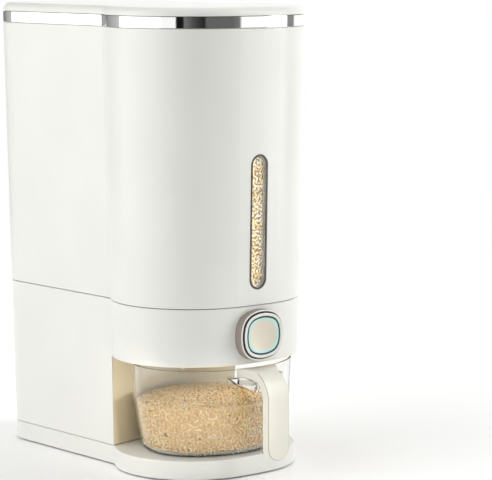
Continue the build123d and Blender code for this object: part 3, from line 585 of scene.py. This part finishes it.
def make_spring():
    """The CAD spring's own coils on a piece of their own, in steel, fixed to the dispenser."""
    spring = add_piece("spring_coils", nodes["return_spring"].data.copy())
    spring.data.materials.clear()
    spring.data.materials.append(slot_materials["steel"])
    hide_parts("return_spring")
    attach(spring, "dispenser")
    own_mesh(spring)


dress_nodes()
make_spring()


# Outlines of what holds the rice
def sides(loop):
    """Neighbouring points round a closed loop, in pairs."""
    return zip(loop, loop[1:] + loop[:1])


def loop_area(loop):
    """Area inside a loop, negative if it runs clockwise."""
    return sum(a.cross(b) for a, b in sides(loop)) / 2


def cut_edges(shape, place, normal, clear_outer=False):
    """Cut a shape by a plane and return the edges of the cut."""
    whole = shape.verts[:] + shape.edges[:] + shape.faces[:]
    cut = bmesh.ops.bisect_plane(shape, geom=whole, plane_co=place, plane_no=normal,
                                 clear_outer=clear_outer)
    return [e for e in cut["geom_cut"] if isinstance(e, bmesh.types.BMEdge)]


def inner_loop(node, height):
    """Outline of the inside of a node's wall at a height, counter-clockwise from the front."""
    shape = bmesh.new()
    shape.from_mesh(nodes[node].data)
    bmesh.ops.remove_doubles(shape, verts=shape.verts, dist=MERGE_DISTANCE)
    edges = cut_edges(shape, (0, 0, height), (0, 0, 1))
    loops = []
    while edges:
        edge = edges.pop()
        start, vert = edge.verts
        loop = [start.co.xy.copy(), vert.co.xy.copy()]
        while vert is not start:
            step = next((e for e in vert.link_edges if e in edges), None)
            if step is None:
                break
            edges.remove(step)
            vert = step.other_vert(vert)
            loop.append(vert.co.xy.copy())
        loops.append(loop[:-1])
    shape.free()
    loops.sort(key=lambda loop: abs(loop_area(loop)))
    loop = loops[-2]
    if loop_area(loop) < 0:
        loop.reverse()
    front = min(range(len(loop)), key=lambda i: (loop[i].y, loop[i].x))
    return loop[front:] + loop[:front]


def drawn_in(loop, gap):
    """Offset a counter-clockwise loop inwards."""
    moved = []
    for before, here, after in zip(loop[-1:] + loop[:-1], loop, loop[1:] + loop[:1]):
        along = (after - before).normalized()
        moved.append(here + Vector((-along.y, along.x)) * gap)
    return moved


def inside(loop, x, y):
    """Whether a point is inside a loop."""
    hit = False
    for a, b in sides(loop):
        if (a.y > y) != (b.y > y) and x < (b.x - a.x) * (y - a.y) / (b.y - a.y) + a.x:
            hit = not hit
    return hit


def even_loop(loop, count):
    """The same loop with count evenly spaced points."""
    lengths = [0.0]
    for a, b in sides(loop):
        lengths.append(lengths[-1] + (b - a).length)
    points = []
    index = 0
    for step in range(count):
        target = lengths[-1] * step / count
        while lengths[index + 1] < target:
            index += 1
        share = (target - lengths[index]) / (lengths[index + 1] - lengths[index])
        points.append(loop[index].lerp(loop[(index + 1) % len(loop)], share))
    return points


# Rice grains and heaps
def grain_shape():
    """Points and faces of one grain along X: rings between two end points."""
    points = [(-1.0, 0.0, 0.0)]
    for ring in range(1, GRAIN_RINGS):
        along = -math.cos(math.pi * ring / GRAIN_RINGS)
        reach = math.sin(math.pi * ring / GRAIN_RINGS) ** GRAIN_FULLNESS
        for step in range(GRAIN_SEGMENTS):
            turn = 2 * math.pi * step / GRAIN_SEGMENTS
            points.append((along, reach * math.cos(turn), reach * math.sin(turn)))
    points.append((1.0, 0.0, 0.0))
    last = len(points) - 1
    faces = []
    for step in range(GRAIN_SEGMENTS):
        after = (step + 1) % GRAIN_SEGMENTS
        faces.append((0, 1 + after, 1 + step))
        for ring in range(GRAIN_RINGS - 2):
            low = 1 + ring * GRAIN_SEGMENTS
            high = low + GRAIN_SEGMENTS
            faces.append((low + step, low + after, high + after, high + step))
        top = 1 + (GRAIN_RINGS - 2) * GRAIN_SEGMENTS
        faces.append((last, top + step, top + after))
    half = Vector((GRAIN_LENGTH, GRAIN_WIDTH, GRAIN_HEIGHT)) / 2
    return [Vector(p) * half for p in points], faces


def scattered(candidates, spacing):
    """Keep the candidates that are at least spacing from those already kept."""
    kept = []
    cells = {}
    for place, normal in candidates:
        key = tuple(int(c // spacing) for c in place)
        near = (other for dx in (-1, 0, 1) for dy in (-1, 0, 1) for dz in (-1, 0, 1)
                for other in cells.get((key[0] + dx, key[1] + dy, key[2] + dz), ()))
        if all((place - other).length_squared > spacing ** 2 for other in near):
            cells.setdefault(key, []).append(place)
            kept.append((place, normal))
    return kept


def grain_turn(rng, normal, tilt):
    """Lie a grain on a surface: any heading, tipped a little out of it."""
    stand = Vector((0.0, 0.0, 1.0)).rotation_difference(normal).to_matrix()
    heading = Euler((rng.gauss(0.0, tilt), rng.gauss(0.0, tilt), rng.uniform(0.0, 2 * math.pi)), "XYZ")
    return stand @ heading.to_matrix()


def add_rice(name, mesh, tints):
    """Add a mesh of rice as a piece, with a tint for each of its points."""
    mesh.attributes.new("tint", "FLOAT", "POINT").data.foreach_set("value", tints)
    mesh.shade_smooth()
    return add_piece(name, mesh)


def make_grains(name, rng, places, tilt, paleness):
    """One mesh of many grains, each with its own size and tint, which varies about paleness."""
    shape_points, shape_faces = grain_shape()
    points = []
    faces = []
    tints = []
    for place, normal in places:
        turn = grain_turn(rng, normal, tilt)
        size = rng.uniform(*GRAIN_SIZES)
        first = len(points)
        points.extend(place + turn @ (p * size) for p in shape_points)
        faces.extend(tuple(first + i for i in face) for face in shape_faces)
        tint = min(1.0, max(0.0, rng.gauss(paleness, GRAIN_TINT_SPREAD)))
        tints.extend([tint] * len(shape_points))
    mesh = bpy.data.meshes.new(name)
    mesh.from_pydata([p[:] for p in points], [], faces)
    return add_rice(name, mesh, tints)


def make_heap(name, loop_at, bottom_z, height_at, rings, gap):
    """Closed body of rice: walls that follow loop_at and a top that follows height_at."""
    body = bmesh.new()
    edge = loop_at(bottom_z, gap)
    layers = []
    for ring in range(rings + 1):
        share = ring / rings
        layer = []
        for i, point in enumerate(edge):
            top = height_at(point.x, point.y) - gap
            z = bottom_z + gap + (top - bottom_z - gap) * share
            layer.append(body.verts.new((*loop_at(z, gap)[i], z)))
        layers.append(layer)
    middle = sum((Vector(v.co.xy) for v in layers[-1]), Vector((0.0, 0.0))) / len(layers[-1])
    for ring in range(1, rings):
        share = 1 - ring / rings
        layer = []
        for vert in layers[rings]:
            at = middle.lerp(vert.co.xy, share)
            layer.append(body.verts.new((at.x, at.y, height_at(at.x, at.y) - gap)))
        layers.append(layer)
    for lower, upper in zip(layers, layers[1:]):
        for i in range(len(lower)):
            j = (i + 1) % len(lower)
            body.faces.new((lower[i], lower[j], upper[j], upper[i]))
    body.faces.new(list(reversed(layers[0])))
    body.faces.new(layers[-1])
    mesh = bpy.data.meshes.new(name)
    body.to_mesh(mesh)
    body.free()
    # The body's dark tint is painted shade between the grains
    return add_rice(name, mesh, [HEAP_BODY_SHADE] * len(mesh.vertices))


def heap_places(rng, count, loop, height_at, depth):
    """Places over the top of a heap, inside a loop."""
    low = Vector((min(p.x for p in loop), min(p.y for p in loop)))
    high = Vector((max(p.x for p in loop), max(p.y for p in loop)))
    step = SLOPE_STEP
    for _ in range(count):
        x = rng.uniform(low.x, high.x)
        y = rng.uniform(low.y, high.y)
        if inside(loop, x, y):
            slope_x = (height_at(x + step, y) - height_at(x - step, y)) / (2 * step)
            slope_y = (height_at(x, y + step) - height_at(x, y - step)) / (2 * step)
            yield Vector((x, y, height_at(x, y) - depth)), Vector((-slope_x, -slope_y, 1.0)).normalized()


# Rice in the cup
rice = rice_material()
cup_low, cup_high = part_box("measuring_cup")
cup_floor_z = cup_low.z + CUP_FLOOR
rim_loop = even_loop(inner_loop("measuring_cup", cup_high.z - CUP_RIM_STEP), CUP_LOOP_POINTS)
cup_middle = Vector((0.0, (min(p.y for p in rim_loop) + max(p.y for p in rim_loop)) / 2))
cup_reach = max(p.x for p in rim_loop)


def cup_slope(height):
    """How much the cup's wall leans at a height."""
    return CUP_UPPER_SLOPE if height > cup_high.z - CUP_UPPER_HEIGHT else CUP_LOWER_SLOPE


def cup_loop(height, gap):
    """Inside of the cup at a height, drawn in by gap: two slopes and a rounded foot."""
    below = cup_high.z - height
    upper = CUP_UPPER_SLOPE * min(below, CUP_UPPER_HEIGHT)
    lower = CUP_LOWER_SLOPE * max(0.0, below - CUP_UPPER_HEIGHT)
    into_foot = min(CUP_FOOT_RADIUS, max(0.0, CUP_FOOT_RADIUS - (height - cup_floor_z)))
    foot = CUP_FOOT_RADIUS - math.sqrt(CUP_FOOT_RADIUS ** 2 - into_foot ** 2)
    return drawn_in(rim_loop, upper + lower + foot + gap)


def cup_heap(x, y):
    """Height of the rice in the cup: a low heap under the chute."""
    away = ((x / cup_reach) ** 2 + ((y - cup_middle.y) / cup_reach) ** 2) ** 0.5
    fall = max(0.0, math.cos(min(1.0, away) * math.pi / 2))
    return CUP_RICE_EDGE_Z + (CUP_RICE_CROWN_Z - CUP_RICE_EDGE_Z) * fall ** CUP_CROWN_SHARPNESS


def cup_wall_places(rng, count, depth):
    """Places just inside the cup's wall, from its floor to the rice level."""
    for _ in range(count):
        z = rng.uniform(cup_floor_z + GRAIN_HEIGHT, CUP_RICE_EDGE_Z)
        loop = cup_loop(z, WALL_GAP + GRAIN_HEIGHT / 2 + depth)
        i = rng.randrange(len(loop))
        at = loop[i].lerp(loop[(i + 1) % len(loop)], rng.random())
        along = (loop[(i + 1) % len(loop)] - loop[i]).normalized()
        yield Vector((at.x, at.y, z)), Vector((along.y, -along.x, -cup_slope(z))).normalized()


def fill_cup():
    """Fill the cup: a body of rice under layers of grains at its wall and on its top."""
    rng = random.Random(CUP_SEED)
    pieces = [make_heap("cup_rice_body", cup_loop, cup_floor_z, cup_heap, CUP_HEAP_RINGS, CUP_RICE_GAP)]
    heap_loop = cup_loop(CUP_RICE_EDGE_Z, WALL_GAP + GRAIN_LENGTH / 2)
    for layer, depth, paleness in CUP_LAYERS:
        wall = scattered(cup_wall_places(rng, CUP_WALL_TRIES, depth), GRAIN_SPACING)
        top = scattered(heap_places(rng, CUP_HEAP_TRIES, heap_loop, cup_heap, depth), GRAIN_SPACING)
        pieces.append(make_grains(f"cup_rice_wall_{layer}", rng, wall, CUP_WALL_TILT, paleness))
        pieces.append(make_grains(f"cup_rice_top_{layer}", rng, top, HEAP_TILT, paleness))
    for piece in pieces:
        piece.data.materials.append(rice)
        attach(piece, "cup")


fill_cup()

# Rice in the hopper
bin_loop = even_loop(inner_loop("bin_shell", HOPPER_RICE_Z), HOPPER_LOOP_POINTS)
chute_low, chute_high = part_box("drop_chute")
drum_y = (chute_low.y + chute_high.y) / 2
lens_low, lens_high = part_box("window_lens")


def hopper_loop(height, gap):
    """Inside of the bin at a height, drawn in by gap."""
    return drawn_in(bin_loop, math.tan(BIN_DRAFT) * (HOPPER_RICE_Z - height) + gap)


def hopper_heap(x, y):
    """Height of the rice in the hopper: uneven, and sunk a little over the outlet."""
    wave_x = math.sin(BROAD_WAVES[0] * x + BROAD_PHASES[0])
    wave_y = math.sin(BROAD_WAVES[1] * y + BROAD_PHASES[1])
    broad = BROAD_RIPPLE * wave_x * wave_y
    fine = FINE_RIPPLE * math.sin(FINE_WAVES[1] * y - FINE_WAVES[0] * x)
    sunk = math.exp(-(x ** 2 + (y - drum_y) ** 2) / HOPPER_SINK_REACH ** 2)
    return HOPPER_RICE_Z + HOPPER_RICE_RELIEF * (broad + fine - sunk)


def cut_to_funnel(piece):
    """Take off what lies below the funnel's four slopes."""
    body = bmesh.new()
    body.from_mesh(piece.data)
    across = (Vector((1.0, 0.0, 0.0)), FUNNEL_SIDE_SLOPE, THROAT_HALF_X)
    along = (Vector((0.0, 1.0, 0.0)), FUNNEL_SLOPE, THROAT_HALF_Y)
    for axis, slope, half in (across, along):
        for side in (1, -1):
            out = axis * side
            foot = Vector((0.0, drum_y, FUNNEL_Z + HOPPER_RICE_GAP)) + out * half
            face = out * math.sin(slope) - Vector((0.0, 0.0, math.cos(slope)))
            edges = cut_edges(body, foot, face, clear_outer=True)
            bmesh.ops.contextual_create(body, geom=edges)
    body.to_mesh(piece.data)
    body.free()


def window_places(rng, count, depth):
    """Places behind the window's lens and retainer, which lean with the bin."""
    reach = (lens_high.x - lens_low.x) / 2
    for _ in range(count):
        z = rng.uniform(lens_low.z, lens_high.z)
        back = lens_high.y + WINDOW_RETAINER - math.tan(BIN_DRAFT) * (z - lens_low.z)
        place = Vector((rng.uniform(-reach, reach), back + WALL_GAP + GRAIN_HEIGHT / 2 + depth, z))
        yield place, Vector((0.0, -1.0, 0.0))


def fill_hopper():
    """Fill the hopper and return the grains that show in the window."""
    rng = random.Random(HOPPER_SEED)
    body = make_heap("hopper_rice_body", hopper_loop, FUNNEL_Z, hopper_heap, HOPPER_HEAP_RINGS,
                     HOPPER_RICE_GAP)
    cut_to_funnel(body)
    top_loop = hopper_loop(HOPPER_RICE_Z, WALL_GAP + GRAIN_LENGTH / 2)
    top = scattered(heap_places(rng, HOPPER_HEAP_TRIES, top_loop, hopper_heap, 0.0), GRAIN_SPACING)
    pieces = [body, make_grains("hopper_rice_grains", rng, top, HEAP_TILT, HOPPER_PALENESS)]
    in_window = []
    for layer, depth, paleness in WINDOW_LAYERS:
        window = scattered(window_places(rng, WINDOW_TRIES, depth), GRAIN_SPACING)
        in_window.append(make_grains(f"window_rice_{layer}", rng, window, WINDOW_TILT, paleness))
    for piece in pieces + in_window:
        piece.data.materials.append(rice)
        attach(piece, "dispenser")
    return in_window


window_rice = fill_hopper()


# Floor, light and camera
def make_floor():
    """Plain pale floor."""
    shape = bmesh.new()
    bmesh.ops.create_circle(shape, cap_ends=True, segments=FLOOR_SEGMENTS, radius=FLOOR_RADIUS)
    mesh = bpy.data.meshes.new("studio_floor")
    shape.to_mesh(mesh)
    shape.free()
    mesh.materials.append(moulded("floor_paint", FLOOR_TONES, FLOOR_ROUGHNESS))
    floor = add_piece("studio_floor", mesh)


def wall_brightness(tree, azimuth):
    """Brightness of the studio's walls at an azimuth socket in radians."""
    ring = add(tree, "ShaderNodeFloatCurve")
    brightest = max(value for _, value in STUDIO_RING)
    points = ring.mapping.curves[0].points
    while len(points) < len(STUDIO_RING):
        points.new(0.5, 0.5)
    for point, (degrees, value) in zip(points, STUDIO_RING):
        point.location = (degrees / 360.0 + 0.5, value / brightest)
        point.handle_type = "VECTOR"
    ring.mapping.update()
    tree.links.new(mapped(tree, azimuth, 0.0, 1.0, (-math.pi, math.pi)), ring.inputs["Value"])
    return math_node(tree, "MULTIPLY", ring.outputs["Value"], brightest)


def make_world():
    """Studio walls as a ring of panels under a ceiling, and plain white behind what the camera sees."""
    world = bpy.data.worlds.new("studio")
    world.use_nodes = True
    tree = world.node_tree
    tree.nodes.clear()
    axes = axis_sockets(tree, "Generated")
    forward = math_node(tree, "MULTIPLY", axes["Y"], -1.0)
    azimuth = math_node(tree, "ARCTAN2", axes["X"], forward)
    level = add(tree, "ShaderNodeMix", data_type="FLOAT")
    up = mapped(tree, axes["Z"], 0.0, 1.0, (CEILING_START, CEILING_END))
    tree.links.new(up, level.inputs["Factor"])
    tree.links.new(wall_brightness(tree, azimuth), level.inputs["A"])
    level.inputs["B"].default_value = CEILING_LEVEL
    around = add(tree, "ShaderNodeBackground", Color=STUDIO_COLOUR)
    tree.links.new(level.outputs["Result"], around.inputs["Strength"])
    seen = add(tree, "ShaderNodeBackground", Color=WHITE, Strength=1.0)
    path = add(tree, "ShaderNodeLightPath")
    finish_tree(tree, either(tree, path.outputs["Is Camera Ray"], around, seen), "ShaderNodeOutputWorld")
    scene.world = world


def add_lamp(name, place, aim, size, spread, power, colour):
    """Soft rectangular lamp that lights the scene but isn't seen, mirrored or looked at through glass."""
    data = bpy.data.lights.new(name, "AREA")
    data.shape = "RECTANGLE"
    data.size, data.size_y = size
    data.spread = math.radians(spread)
    data.energy = power
    data.color = colour
    lamp = bpy.data.objects.new(name, data)
    lamp.location = place
    lamp.rotation_euler = (Vector(aim) - Vector(place)).to_track_quat("-Z", "Y").to_euler()
    lamp.visible_camera = False
    lamp.visible_glossy = False
    lamp.visible_transmission = False
    scene.collection.objects.link(lamp)
    return lamp


def light_only(lamp, pieces):
    """Let a lamp fall on some pieces and leave the rest as they are."""
    lit = bpy.data.collections.new(f"lit_by_{lamp.name}")
    for piece in pieces:
        lit.objects.link(piece)
    lamp.light_linking.receiver_collection = lit


def make_camera():
    """Camera at the photograph's place and angle."""
    data = bpy.data.cameras.new("photo_camera")
    data.sensor_width = SENSOR_WIDTH
    data.sensor_fit = "HORIZONTAL"
    data.lens = FOCAL_PX * SENSOR_WIDTH / IMAGE_WIDTH_PX
    camera = bpy.data.objects.new("photo_camera", data)
    camera.location = CAMERA_PLACE
    camera.rotation_euler = (math.pi / 2 - CAMERA_PITCH, 0.0, -CAMERA_YAW)
    scene.collection.objects.link(camera)
    scene.camera = camera


make_floor()
make_world()
lamps = {name: add_lamp(name, **settings) for name, settings in LAMPS.items()}
light_only(lamps["window_lamp"], window_rice)
make_camera()
scene.view_settings.view_transform = "Standard"
